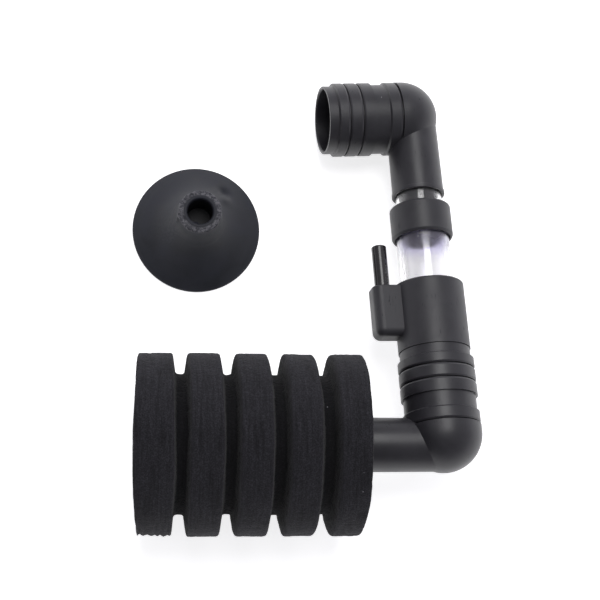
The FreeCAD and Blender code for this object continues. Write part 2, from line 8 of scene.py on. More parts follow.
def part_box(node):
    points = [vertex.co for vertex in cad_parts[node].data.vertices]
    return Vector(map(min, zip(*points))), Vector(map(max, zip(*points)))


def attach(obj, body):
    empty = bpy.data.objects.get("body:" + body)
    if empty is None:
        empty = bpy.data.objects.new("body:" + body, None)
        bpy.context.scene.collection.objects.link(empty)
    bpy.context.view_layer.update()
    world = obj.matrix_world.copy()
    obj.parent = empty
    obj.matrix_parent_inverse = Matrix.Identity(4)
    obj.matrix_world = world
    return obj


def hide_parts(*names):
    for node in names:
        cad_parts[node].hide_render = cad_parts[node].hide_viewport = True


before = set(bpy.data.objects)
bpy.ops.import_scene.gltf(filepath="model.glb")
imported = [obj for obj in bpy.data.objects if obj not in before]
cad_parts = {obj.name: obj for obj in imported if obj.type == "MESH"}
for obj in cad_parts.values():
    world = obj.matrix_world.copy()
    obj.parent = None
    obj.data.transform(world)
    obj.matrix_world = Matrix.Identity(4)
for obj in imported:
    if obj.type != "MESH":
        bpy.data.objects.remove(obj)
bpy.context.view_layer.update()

# An air-driven sponge filter, lying on its side with its suction cup loose beside it. The sections
# follow the filter as it is put together: foam, strainer, elbows, injector and collar, air inlet,
# clear tubes and suction cup, then the studio. Lengths are in metres.


# ---- the foam ---------------------------------------------------------------------------------
# One cylinder of black open-cell foam, sawn from a block, with a core hole and four tapered grooves
# cut round it, so that five discs stand out. Its skin is all cut cells: small pits between thin
# walls. It slides over the strainer and stays there by its own grip.

MM = 0.001


def lattice_random(cells, channel):
    """A fixed random number from 0 to 1 for each whole-number cell: its three coordinates, each
    times a large prime, are joined by exclusive or, stirred by shifts and products, and the low
    24 bits are scaled. A channel gives a different number for the same cell."""
    mixed = (cells[..., 0] * 73856093) ^ (cells[..., 1] * 19349663) ^ (cells[..., 2] * 83492791)
    mixed = (mixed ^ (channel * 2654435761)) & 0xFFFFFFFF
    mixed = ((mixed ^ (mixed >> 15)) * 2246822519) & 0xFFFFFFFF
    mixed = ((mixed ^ (mixed >> 13)) * 3266489917) & 0xFFFFFFFF
    return ((mixed ^ (mixed >> 16)) & 0xFFFFFF) / float(0x1000000)


def smooth_step(value):
    """Three times the square less twice the cube, of the value held between 0 and 1."""
    held = np.clip(value, 0.0, 1.0)
    return held * held * (3.0 - 2.0 * held)


def soft_noise(points, size, channel):
    """Value noise from -1 to 1: each point blends the random numbers at the eight corners of its
    cell of the given size, by smooth_step of how far it lies across the cell."""
    scaled = points / size
    corner = np.floor(scaled).astype(np.int64)
    share = smooth_step(scaled - corner)
    total = np.zeros(points.shape[:-1])
    for step in np.ndindex(2, 2, 2):
        weight = np.prod(np.where(np.array(step) == 1, share, 1.0 - share), axis=-1)
        total += weight * lattice_random(corner + np.array(step), channel)
    return total * 2.0 - 1.0


def cell_walls(points, size, channel):
    """Foam cells about random centres, one to a lattice cell: for each point, the distance to its
    second nearest centre less the distance to its nearest (0 on a wall), and a random number that
    belongs to the nearest centre. Distances are in cells."""
    scaled = points / size
    home = np.floor(scaled).astype(np.int64)
    nearest = np.full(points.shape[:-1], 9.0)
    second = nearest.copy()
    owner = np.zeros(points.shape[:-1])
    for step in np.ndindex(3, 3, 3):
        cell = home + np.array(step) - 1
        centre = cell + np.stack([lattice_random(cell, channel + axis) for axis in range(3)], axis=-1)
        distance = np.linalg.norm(centre - scaled, axis=-1)
        closer = distance < nearest
        second = np.where(closer, nearest, np.minimum(second, distance))
        owner = np.where(closer, lattice_random(cell, channel + 3), owner)
        nearest = np.where(closer, distance, nearest)
    return second - nearest, owner


def add_piece(name, vertices, faces):
    """A smooth-shaded mesh object at the origin, from arrays of vertices and of faces."""
    mesh = bpy.data.meshes.new(name)
    mesh.from_pydata(vertices, [], faces)
    mesh.shade_smooth()
    piece = bpy.data.objects.new(name, mesh)
    bpy.context.scene.collection.objects.link(piece)
    return piece


def ring_faces(rows, around, closed):
    """Quads between each row of a turned grid and the next, and back to the first if closed."""
    row = np.arange(rows if closed else rows - 1)[:, None]
    step = np.arange(around)[None, :]
    after = (row + 1) % rows
    beside = (step + 1) % around
    corners = [row * around + step, row * around + beside, after * around + beside,
               after * around + step]
    return np.stack([c + 0 * (row + step) for c in corners], axis=-1).reshape(-1, 4)


foam_low, foam_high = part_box("foam_sponge")
strainer_low, strainer_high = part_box("strainer_tube")
FOAM_RADIUS = (foam_high.z - foam_low.z) / 2
FOAM_MIDDLE = Vector((0.0, (foam_low.y + foam_high.y) / 2, (foam_low.z + foam_high.z) / 2))
FOAM_BORE = (strainer_high.z - strainer_low.z) / 2 + 0.4 * MM
FOAM_SEAT = 9.7 * MM
FOAM_SEAT_DEPTH = 2.8 * MM
GROOVES = 4
GROOVE_MOUTH = 4.6 * MM
GROOVE_FLOOR = 2.8 * MM
GROOVE_DEPTH = 7.0 * MM
FOAM_MESH = 0.35 * MM
FOAM_CORNER = 0.7 * MM
PORE = 0.8 * MM
PORE_DEPTH = 0.15 * MM
TEAR_DEPTH = 0.13 * MM
UNEVEN_DEPTH = 0.42 * MM
SAW_TOOTH = 2.1 * MM
SAW_TOOTH_DEPTH = 1.3 * MM
ROUGH_DISC = 11.5 * MM


def foam_outline():
    """The foam's closed outline as rows of (x, radius), from the bore's left end over the left
    face, the discs and grooves, the right face and the seat, and back along the bore. Each groove
    narrows from its mouth to its floor, and its mouth is a little wider than the one before. The
    outline is sampled every FOAM_MESH, wider in the bore, and each sample is averaged with its
    neighbours by a bell curve, which rounds every corner by about FOAM_CORNER."""
    disc = (foam_high.x - foam_low.x - GROOVES * GROOVE_MOUTH) / (GROOVES + 1)
    corners = [(foam_low.x, FOAM_BORE), (foam_low.x, FOAM_RADIUS)]
    for groove in range(GROOVES):
        middle = foam_low.x + disc * (groove + 1) + GROOVE_MOUTH * (groove + 0.5)
        mouth_width = GROOVE_MOUTH + (0.2 + 0.3 * groove) * MM
        for side in (-1, 1):
            mouth = (middle + side * mouth_width / 2, FOAM_RADIUS)
            foot = (middle + side * GROOVE_FLOOR / 2, FOAM_RADIUS - GROOVE_DEPTH)
            corners += [mouth, foot] if side < 0 else [foot, mouth]
    corners += [(foam_high.x, FOAM_RADIUS), (foam_high.x, FOAM_SEAT),
                (foam_high.x - FOAM_SEAT_DEPTH, FOAM_SEAT), (foam_high.x - FOAM_SEAT_DEPTH, FOAM_BORE)]
    corners = np.array(corners)
    runs = []
    for start, end in zip(corners, np.roll(corners, -1, axis=0)):
        in_bore = max(start[1], end[1]) < FOAM_BORE + 0.1 * MM
        spacing = FOAM_MESH * (4.0 if in_bore else 1.0)
        count = max(2, round(np.linalg.norm(end - start) / spacing))
        runs.append(start + (end - start) * np.arange(count)[:, None] / count)
    samples = np.concatenate(runs)
    reach = 6
    weights = np.exp(-0.5 * (np.arange(-reach, reach + 1) * FOAM_MESH / FOAM_CORNER) ** 2)
    weights /= weights.sum()
    shifts = range(-reach, reach + 1)
    return sum(weight * np.roll(samples, shift, axis=0) for weight, shift in zip(weights, shifts))


def foam_surface():
    """The outline turned about the foam's axis and pushed inward along its normals: by the cut
    cells, as a pit in each cell of PORE across that is deepest where cell_walls is largest, by
    torn patches, by a slow unevenness, by fine rings left by the saw, and by its coarser teeth on
    the left disc's -Y side. The left face then swells out a little, most at its top, and the right
    rim leans out on its +Y side. Rows run along the outline and columns round it. The second
    result is each point's depth in a groove, from 0 to 1."""
    outline = foam_outline()
    around = int(2 * math.pi * FOAM_RADIUS / FOAM_MESH)
    turn = np.arange(around) / around * 2 * math.pi
    tangent = np.roll(outline, -1, axis=0) - np.roll(outline, 1, axis=0)
    tangent /= np.linalg.norm(tangent, axis=1)[:, None]
    outward = np.stack([-tangent[:, 1], tangent[:, 0]], axis=1)

    def turned(profile):
        x = np.repeat(profile[:, :1], around, axis=1)
        y = profile[:, 1:] * np.cos(turn)
        z = profile[:, 1:] * np.sin(turn)
        return np.stack([x, y, z], axis=-1)

    points = turned(outline)
    normals = turned(outward)
    gap, owner = cell_walls(points, PORE, 11)
    pits = smooth_step((gap - 0.06) / 0.42) * (0.45 + 0.75 * owner) * PORE_DEPTH
    torn = np.clip(soft_noise(points, 2.3 * MM, 31), 0.0, 1.0) * TEAR_DEPTH
    uneven = (0.5 + 0.5 * soft_noise(points, 11.0 * MM, 41)) * UNEVEN_DEPTH
    stretched = points * np.array([1.0, 0.09, 0.09])
    left_disc = np.exp(-((points[..., 0] - foam_low.x) / (7.0 * MM)) ** 2)
    rings = np.clip(soft_noise(stretched, 0.95 * MM, 51), 0.0, 1.0) * (0.10 + 0.22 * left_disc) * MM
    tooth_turn = points[..., 0] / SAW_TOOTH + 0.12 * soft_noise(stretched, 3.0 * MM, 55)
    tooth = np.abs(tooth_turn % 1.0 - 0.5)
    near_side = smooth_step((-points[..., 1] / FOAM_RADIUS - 0.80) / 0.18)
    outside = smooth_step((outline[:, 1] - FOAM_RADIUS + 1.2 * MM) / (0.8 * MM))[:, None]
    on_rough_disc = points[..., 0] < foam_low.x + ROUGH_DISC
    teeth = tooth * SAW_TOOTH_DEPTH * near_side * outside * on_rough_disc
    open_skin = smooth_step((outline[:, 1] - FOAM_SEAT - 0.3 * MM) / (1.5 * MM))[:, None]
    depth = (pits + torn + uneven + rings) * (0.25 + 0.75 * open_skin) + teeth
    points = points - normals * depth[..., None]

    left_face = smooth_step((foam_low.x + 6.0 * MM - points[..., 0]) / (6.0 * MM))
    bulge = 0.55 + 1.7 * smooth_step(points[..., 2] / FOAM_RADIUS)
    points[..., 0] -= left_face * open_skin * bulge * MM
    right_rim = smooth_step((points[..., 0] - foam_high.x + 9.0 * MM) / (9.0 * MM))
    lean = points[..., 1] / FOAM_RADIUS
    wave = soft_noise(points * np.array([0.0, 1.0, 1.0]), 17.0 * MM, 61) * 0.3
    points[..., 0] += right_rim * open_skin * (0.55 * lean + wave) * MM
    within = (points[..., 0] > foam_low.x + 4.0 * MM) & (points[..., 0] < foam_high.x - 4.0 * MM)
    in_groove = smooth_step((FOAM_RADIUS - outline[:, 1:]) / GROOVE_DEPTH) * within
    return points + np.array(FOAM_MIDDLE), in_groove


foam_points, foam_groove = foam_surface()
foam = add_piece("foam", foam_points.reshape(-1, 3), ring_faces(*foam_points.shape[:2], closed=True))
# in_groove is each point's depth in a groove; the foam material paints shade down the grooves by it
foam.data.attributes.new("in_groove", "FLOAT", "POINT").data.foreach_set("value", foam_groove.ravel())


def node(tree, kind, sockets=None, **settings):
    """Add a shader node, set its settings, and set or link each of its named inputs."""
    made = tree.nodes.new(kind)
    for name, value in settings.items():
        setattr(made, name, value)
    for name, value in (sockets or {}).items():
        if isinstance(value, bpy.types.NodeSocket):
            tree.links.new(value, made.inputs[name])
        else:
            made.inputs[name].default_value = value
    return made


def new_material(name):
    """An empty node material: its tree, its Principled shader and its Object coordinates."""
    material = bpy.data.materials.new(name)
    material.use_nodes = True
    tree = material.node_tree
    tree.nodes.clear()
    shader = node(tree, "ShaderNodeBsdfPrincipled")
    node(tree, "ShaderNodeOutputMaterial", {"Surface": shader.outputs["BSDF"]})
    place = node(tree, "ShaderNodeTexCoord").outputs["Object"]
    return material, tree, shader, place


def ramp(tree, value, stops):
    """A colour ramp on a value. Each stop is a place from 0 to 1 and a grey or an RGB colour."""
    made = node(tree, "ShaderNodeValToRGB", {"Fac": value})
    elements = made.color_ramp.elements
    while len(elements) < len(stops):
        elements.new(0.5)
    for element, (place, colour) in zip(elements, stops):
        element.position = place
        rgb = colour if isinstance(colour, tuple) else (colour,) * 3
        element.color = (*rgb, 1.0)
    return made.outputs["Color"]


def mix(tree, share, first, second):
    """The first colour, or the second where the share is 1."""
    made = node(tree, "ShaderNodeMix", data_type="RGBA")
    for name, value in (("Factor", share), ("A", first), ("B", second)):
        socket = next(s for s in made.inputs if s.name == name and s.type == (
            "VALUE" if name == "Factor" else "RGBA"))
        if isinstance(value, bpy.types.NodeSocket):
            tree.links.new(value, socket)
        elif name == "Factor":
            socket.default_value = value
        else:
            socket.default_value = (*value, 1.0)
    return next(s for s in made.outputs if s.type == "RGBA")


def effect_group(name, inputs, outputs):
    """A new shader node group with named sockets: its tree, its input node and its output node."""
    tree = bpy.data.node_groups.new(name, "ShaderNodeTree")
    for label, kind, value in inputs:
        socket = tree.interface.new_socket(label, in_out="INPUT", socket_type=kind)
        if value is not None:
            socket.default_value = value
    for label, kind in outputs:
        tree.interface.new_socket(label, in_out="OUTPUT", socket_type=kind)
    return tree, node(tree, "NodeGroupInput"), node(tree, "NodeGroupOutput")


def dust_and_glint_group():
    """Pale specks, dust on the plastics and rubber and painted glints on the foam: a cell texture with a
    speck at the middle of some cells. Spacing is how many cells there are to a metre, Size a speck's
    radius in cells, and Share how many have one."""
    tree, given, result = effect_group("dust_and_glint_specks", [
        ("Vector", "NodeSocketVector", None), ("Spacing", "NodeSocketFloat", 250.0),
        ("Size", "NodeSocketFloat", 0.04), ("Share", "NodeSocketFloat", 0.4)],
        [("Mask", "NodeSocketFloat")])
    cells = node(tree, "ShaderNodeTexVoronoi", {
        "Vector": given.outputs["Vector"], "Scale": given.outputs["Spacing"]})
    chance = node(tree, "ShaderNodeSeparateColor", {"Color": cells.outputs["Color"]})
    size = node(tree, "ShaderNodeMath", {0: given.outputs["Size"], 1: chance.outputs["Green"]},
                operation="MULTIPLY")
    speck = node(tree, "ShaderNodeMath", {0: cells.outputs["Distance"], 1: size.outputs[0]},
                 operation="LESS_THAN")
    chosen = node(tree, "ShaderNodeMath", {0: chance.outputs["Red"], 1: given.outputs["Share"]},
                  operation="LESS_THAN")
    both = node(tree, "ShaderNodeMath", {0: speck.outputs[0], 1: chosen.outputs[0]},
                operation="MULTIPLY")
    tree.links.new(both.outputs[0], result.inputs["Mask"])
    return tree


DUST_AND_GLINTS = dust_and_glint_group()


def dust_and_glints_on(tree, place, spacing, size, share):
    """The speck group's mask, placed in a material with that material's own values: dust on the plastics
    and rubber, painted glints on the foam.
    """
    return node(tree, "ShaderNodeGroup", {
        "Vector": place, "Spacing": spacing, "Size": size, "Share": share},
        node_tree=DUST_AND_GLINTS).outputs["Mask"]


def foam_material():
    """Matte black foam: fine pits painted darker than the walls between them, as shade, streaks left
    by the saw, slow changes of tone, painted shade down the grooves, a little sheen from the fuzz of
    cut walls, and sparse pale specks painted as glints on cut cell walls."""
    material, tree, shader, place = new_material("cut_foam")
    pores = node(tree, "ShaderNodeTexVoronoi", {
        "Vector": place, "Scale": 1 / (0.42 * MM), "Randomness": 1.0})
    grain = node(tree, "ShaderNodeTexNoise", {
        "Vector": place, "Scale": 1 / (0.35 * MM), "Detail": 3.0, "Roughness": 0.7})
    sawn = node(tree, "ShaderNodeMapping", {"Vector": place, "Scale": (1.0, 0.07, 0.07)})
    streaks = node(tree, "ShaderNodeTexNoise", {
        "Vector": sawn.outputs["Vector"], "Scale": 1 / (0.8 * MM), "Detail": 3.0, "Roughness": 0.65})
    cut = node(tree, "ShaderNodeAttribute", attribute_name="in_groove")
    patches = node(tree, "ShaderNodeTexNoise", {
        "Vector": place, "Scale": 1 / (7.0 * MM), "Detail": 2.0})
    # painted shade: the pits of the cells are darker and the walls between them lighter
    walls = ramp(tree, pores.outputs["Distance"], [
        (0.10, (0.012, 0.0115, 0.014)), (0.45, (0.019, 0.0185, 0.022)), (0.80, (0.031, 0.030, 0.036))])
    slow = ramp(tree, patches.outputs["Fac"], [(0.35, 0.80), (0.65, 0.95)])
    streaked = ramp(tree, streaks.outputs["Fac"], [(0.34, 0.62), (0.50, 0.95), (0.68, 1.15)])
    # painted shade: the foam's colour darkens down the grooves, by the in_groove attribute
    deep = ramp(tree, cut.outputs["Fac"], [(0.10, 1.0), (0.60, 0.42), (0.95, 0.34)])
    some = node(tree, "ShaderNodeVectorMath", {0: slow, 1: streaked}, operation="MULTIPLY")
    tone = node(tree, "ShaderNodeVectorMath", {0: some.outputs["Vector"], 1: deep},
                operation="MULTIPLY").outputs["Vector"]
    shaded = node(tree, "ShaderNodeVectorMath", {0: walls, 1: tone}, operation="MULTIPLY")
    # painted glints: sparse pale specks over the foam, for light caught on cut cell walls
    painted_glints = dust_and_glints_on(tree, place, 1 / (3.4 * MM), 0.062, 0.12)
    colour = mix(tree, painted_glints, shaded.outputs["Vector"], (0.22, 0.22, 0.24))
    tree.links.new(colour, shader.inputs["Base Color"])
    height = node(tree, "ShaderNodeMath", {
        0: pores.outputs["Distance"], 1: grain.outputs["Fac"]}, operation="ADD")
    bump = node(tree, "ShaderNodeBump", {
        "Height": height.outputs[0], "Strength": 0.7, "Distance": 0.11 * MM})
    tree.links.new(bump.outputs["Normal"], shader.inputs["Normal"])
    shader.inputs["Roughness"].default_value = 0.92
    shader.inputs["Specular IOR Level"].default_value = 0.25
    shader.inputs["Sheen Weight"].default_value = 0.06
    shader.inputs["Sheen Roughness"].default_value = 0.45
    return material


foam.data.materials.append(foam_material())
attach(foam, "foam")
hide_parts("foam_sponge")


# ---- the strainer and its end cap -------------------------------------------------------------
# A slotted tube runs through the foam and lets the water in, and its bare end plugs into the base
# elbow. A cap with a stud for the suction cup closes the far end. Both are black moulded plastic.

def moulding_group():
    """The skin of a plastic moulding: a fine spark-eroded grain and sparse hairline scuffs. Height
    is for a bump, Gloss adds to the roughness, and Tone is a grey that multiplies the colour."""
    tree, given, result = effect_group("moulded_skin", [
        ("Vector", "NodeSocketVector", None), ("Grain", "NodeSocketFloat", 4000.0),
        ("Scuffs", "NodeSocketFloat", 0.3)],
        [("Height", "NodeSocketFloat"), ("Gloss", "NodeSocketFloat"), ("Tone", "NodeSocketFloat")])
    place = given.outputs["Vector"]
    grain = node(tree, "ShaderNodeTexNoise", {
        "Vector": place, "Scale": given.outputs["Grain"], "Detail": 2.0, "Roughness": 0.6})
    flow = node(tree, "ShaderNodeTexNoise", {
        "Vector": place, "Scale": 110.0, "Detail": 4.0, "Roughness": 0.55, "Distortion": 0.6})
    stretched = node(tree, "ShaderNodeMapping", {
        "Vector": place, "Rotation": (0.5, 0.7, 0.4), "Scale": (1.0, 0.05, 1.0)})
    hairs = node(tree, "ShaderNodeTexNoise", {
        "Vector": stretched.outputs["Vector"], "Scale": 2600.0, "Detail": 1.0})
    few = node(tree, "ShaderNodeTexNoise", {"Vector": place, "Scale": 190.0, "Detail": 1.0})
    thin = node(tree, "ShaderNodeMapRange", {
        "Value": hairs.outputs["Fac"], "From Min": 0.66, "From Max": 0.74})
    here = node(tree, "ShaderNodeMapRange", {
        "Value": few.outputs["Fac"], "From Min": 0.52, "From Max": 0.66})
    scuff = node(tree, "ShaderNodeMath", {0: thin.outputs[0], 1: here.outputs[0]},
                 operation="MULTIPLY")
    amount = node(tree, "ShaderNodeMath", {0: scuff.outputs[0], 1: given.outputs["Scuffs"]},
                  operation="MULTIPLY")
    height = node(tree, "ShaderNodeMath", {0: grain.outputs["Fac"], 1: amount.outputs[0]},
                  operation="SUBTRACT")
    spread = node(tree, "ShaderNodeMapRange", {
        "Value": flow.outputs["Fac"], "From Min": 0.3, "From Max": 0.7, "To Min": -0.05, "To Max": 0.06})
    gloss = node(tree, "ShaderNodeMath", {0: spread.outputs[0], 1: amount.outputs[0]}, operation="ADD")
    tone = node(tree, "ShaderNodeMapRange", {
        "Value": flow.outputs["Fac"], "From Min": 0.3, "From Max": 0.7, "To Min": 0.80, "To Max": 1.15})
    for label, socket in (("Height", height), ("Gloss", gloss), ("Tone", tone)):
        tree.links.new(socket.outputs[0], result.inputs[label])
    return tree


def wear_group():
    """Rubbed edges: the bent normal of a small bevel turns away from the true normal near an edge,
    and a noise breaks the rubbed line up. Radius is the bevel's, and Mask is 1 where it is worn."""
    tree, given, result = effect_group("edge_wear", [
        ("Vector", "NodeSocketVector", None), ("Radius", "NodeSocketFloat", 0.0003),
        ("Strength", "NodeSocketFloat", 1.0)], [("Mask", "NodeSocketFloat")])
    bevel = node(tree, "ShaderNodeBevel", {"Radius": given.outputs["Radius"]}, samples=6)
    true = node(tree, "ShaderNodeNewGeometry")
    turn = node(tree, "ShaderNodeVectorMath", {0: bevel.outputs["Normal"], 1: true.outputs["Normal"]},
                operation="DOT_PRODUCT")
    edge = node(tree, "ShaderNodeMapRange", {
        "Value": turn.outputs["Value"], "From Min": 0.985, "From Max": 0.82})
    patchy = node(tree, "ShaderNodeTexNoise", {
        "Vector": given.outputs["Vector"], "Scale": 900.0, "Detail": 3.0, "Roughness": 0.65})
    broken = node(tree, "ShaderNodeMapRange", {
        "Value": patchy.outputs["Fac"], "From Min": 0.38, "From Max": 0.62})
    worn = node(tree, "ShaderNodeMath", {0: edge.outputs[0], 1: broken.outputs[0]},
                operation="MULTIPLY")
    strong = node(tree, "ShaderNodeMath", {0: worn.outputs[0], 1: given.outputs["Strength"]},
                  operation="MULTIPLY")
    tree.links.new(strong.outputs[0], result.inputs["Mask"])
    return tree


MOULDED_SKIN = moulding_group()
EDGE_WEAR = wear_group()


def moulded_plastic(name, colour, roughness, grain=0.25 * MM, grain_depth=0.008 * MM, wear=0.5,
                    dust=0.25):
    """Black moulded plastic with grain, scuffs, rubbed edges and a little dust."""
    material, tree, shader, place = new_material(name)
    skin = node(tree, "ShaderNodeGroup", {"Vector": place, "Grain": 1 / grain, "Scuffs": 0.6},
                node_tree=MOULDED_SKIN)
    rubbed = node(tree, "ShaderNodeGroup", {"Vector": place, "Radius": 0.28 * MM, "Strength": wear},
                  node_tree=EDGE_WEAR)
    toned = node(tree, "ShaderNodeVectorMath", {0: colour}, operation="SCALE")
    tree.links.new(skin.outputs["Tone"], toned.inputs["Scale"])
    paler = tuple(0.05 + 1.6 * channel for channel in colour)
    worn = mix(tree, rubbed.outputs["Mask"], toned.outputs["Vector"], paler)
    dusty = mix(tree, dust_and_glints_on(tree, place, 1 / (4.5 * MM), 0.036, dust), worn, (0.34, 0.34, 0.36))
    tree.links.new(dusty, shader.inputs["Base Color"])
    rough = node(tree, "ShaderNodeMath", {0: skin.outputs["Gloss"], 1: roughness}, operation="ADD")
    tree.links.new(rough.outputs[0], shader.inputs["Roughness"])
    bump = node(tree, "ShaderNodeBump", {
        "Height": skin.outputs["Height"], "Strength": 1.0, "Distance": grain_depth})
    tree.links.new(bump.outputs["Normal"], shader.inputs["Normal"])
    return material


def finish_node(name, material):
    """Give a piece that comes finished from the CAD its material, in every slot it has."""
    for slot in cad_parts[name].material_slots:
        slot.material = material


STRAINER_PLASTIC = moulded_plastic("strainer_plastic", (0.022, 0.0215, 0.025), 0.42)
finish_node("strainer_tube", STRAINER_PLASTIC)
finish_node("strainer_end_cap", STRAINER_PLASTIC)


# ---- the two elbows ---------------------------------------------------------------------------
# One moulding used twice: at the foot it joins the strainer to the riser, and at the top it is the
# outlet. It is satin black plastic, with sharp barbs round the large leg and a rounded heel.

ELBOW_PLASTIC = moulded_plastic("elbow_plastic", (0.0230, 0.0222, 0.0262), 0.38, wear=0.35)
finish_node("base_elbow", ELBOW_PLASTIC)
finish_node("outlet_elbow", ELBOW_PLASTIC)


# ---- the air injector and the collar ----------------------------------------------------------
# The injector is a barrel with a plug end below, a socket above and a block at its side that takes
# the air inlet. The collar is pressed on the wide clear tube's top and guides the narrow one. Both
# are black plastic with a finer, more matte grain than the elbows.

INJECTOR_PLASTIC = moulded_plastic("injector_plastic", (0.0265, 0.0258, 0.0300), 0.46,
                                   grain=0.18 * MM, wear=0.25)
finish_node("air_injector", INJECTOR_PLASTIC)
finish_node("riser_collar", INJECTOR_PLASTIC)


# ---- the air inlet ----------------------------------------------------------------------------
# A short length of glossy black tube, drawn through a die, which leaves fine lines along it, and
# pressed into the block. The air line pushes over its free end.

def inlet_material():
    """Glossy black tube with drawing lines along it and a clear coat."""
    material, tree, shader, place = new_material("glossy_inlet")
    drawn = node(tree, "ShaderNodeMapping", {"Vector": place, "Scale": (1.0, 0.04, 1.0)})
    lines = node(tree, "ShaderNodeTexNoise", {
        "Vector": drawn.outputs["Vector"], "Scale": 2200.0, "Detail": 2.0})
    dusty = mix(tree, dust_and_glints_on(tree, place, 1 / (4.0 * MM), 0.03, 0.3), (0.014, 0.0125, 0.013),
                (0.3, 0.3, 0.32))
    tree.links.new(dusty, shader.inputs["Base Color"])
    gloss = node(tree, "ShaderNodeMapRange", {
        "Value": lines.outputs["Fac"], "From Min": 0.3, "From Max": 0.7, "To Min": 0.16, "To Max": 0.28})
    tree.links.new(gloss.outputs[0], shader.inputs["Roughness"])
    bump = node(tree, "ShaderNodeBump", {
        "Height": lines.outputs["Fac"], "Strength": 0.6, "Distance": 0.01 * MM})
    tree.links.new(bump.outputs["Normal"], shader.inputs["Normal"])
    shader.inputs["Coat Weight"].default_value = 0.3
    shader.inputs["Coat Roughness"].default_value = 0.08
    return material


finish_node("air_inlet", inlet_material())


# ---- the clear tubes --------------------------------------------------------------------------
# Two lengths of clear acrylic tube, cut from extruded stock. The wide one is pressed into the
# injector and the collar, and the narrow one slides in it to set the height of the outlet. Just
# under the collar the tube is tinted violet grey, a painted shade from the collar, and is rougher.

collar_low, collar_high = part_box("riser_collar")
RISER_DROOP = math.radians(8.22)
RISER_PAN = math.radians(-2.5)


def clear_material():
    """Clear plastic with faint extrusion lines along the riser. The collar shade mask rises from 0
    to 1 along Y on the way to the collar and falls again at its far end. Where it is 1 the plastic
    is rougher and tinted a darker violet grey, a painted shade from the collar."""
    material, tree, shader, place = new_material("clear_tube")
    along = node(tree, "ShaderNodeSeparateXYZ", {"Vector": place}).outputs["Y"]
    before = node(tree, "ShaderNodeMapRange", {
        "Value": along, "From Min": collar_low.y - 7.0 * MM, "From Max": collar_low.y + 2.0 * MM},
        interpolation_type="SMOOTHSTEP")
    after = node(tree, "ShaderNodeMapRange", {
        "Value": along, "From Min": collar_high.y - 2.0 * MM, "From Max": collar_high.y,
        "To Min": 1.0, "To Max": 0.0})
    collar_shade = node(tree, "ShaderNodeMath", {0: before.outputs[0], 1: after.outputs[0]},
                 operation="MULTIPLY").outputs[0]
    drawn = node(tree, "ShaderNodeMapping", {
        "Vector": place, "Rotation": (RISER_DROOP, 0.0, RISER_PAN),
        "Scale": (1.0, 0.02, 1.0)})
    lines = node(tree, "ShaderNodeTexNoise", {
        "Vector": drawn.outputs["Vector"], "Scale": 900.0, "Detail": 2.0})
    haze = node(tree, "ShaderNodeTexNoise", {"Vector": place, "Scale": 160.0, "Detail": 5.0})
    rough = node(tree, "ShaderNodeMapRange", {
        "Value": haze.outputs["Fac"], "From Min": 0.35, "From Max": 0.7, "To Min": 0.04, "To Max": 0.11})
    hazed = node(tree, "ShaderNodeMath", {0: collar_shade, 1: 0.20, 2: rough.outputs[0]},
                 operation="MULTIPLY_ADD")
    tree.links.new(hazed.outputs[0], shader.inputs["Roughness"])
    shader.inputs["Transmission Weight"].default_value = 0.98
    bump = node(tree, "ShaderNodeBump", {
        "Height": lines.outputs["Fac"], "Strength": 0.5, "Distance": 0.03 * MM})
    tree.links.new(bump.outputs["Normal"], shader.inputs["Normal"])
    # painted shade: the tube is tinted violet grey just under the collar
    tint = mix(tree, collar_shade, (0.998, 0.996, 1.0), (0.86, 0.84, 0.96))
    tree.links.new(tint, shader.inputs["Base Color"])
    shader.inputs["IOR"].default_value = 1.49
    return material


CLEAR_TUBE = clear_material()
finish_node("outer_riser_tube", CLEAR_TUBE)
finish_node("inner_riser_tube", CLEAR_TUBE)


# ---- the suction cup --------------------------------------------------------------------------
# A soft rubber cup, loose beside the filter: thin rim, hollow underside, a slightly hollowed cone
# and a short neck with a hole for the stud. Its neck is scuffed, and flash is left at the side.

cup_low, cup_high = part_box("suction_cup")
CUP_MIDDLE = Vector(((cup_low.x + cup_high.x) / 2, (cup_low.y + cup_high.y) / 2, cup_low.z))
CUP_RIM = (cup_high.x - cup_low.x) / 2
CUP_TOP = cup_high.z - cup_low.z
CUP_NECK = 7.5 * MM
CUP_HOLE = 4.35 * MM
CUP_HOLE_DEPTH = 11.6 * MM
CUP_HOLLOW = 8.5 * MM
CUP_SHOULDER = 15.0 * MM
CUP_LIP = 0.9 * MM
CUP_WARP = 0.22 * MM
CUP_FLASH = 0.8 * MM
CUP_FOLD = 1.25 * MM
CUP_RIDGE = 0.85 * MM
CUP_LUMP = 1.1 * MM


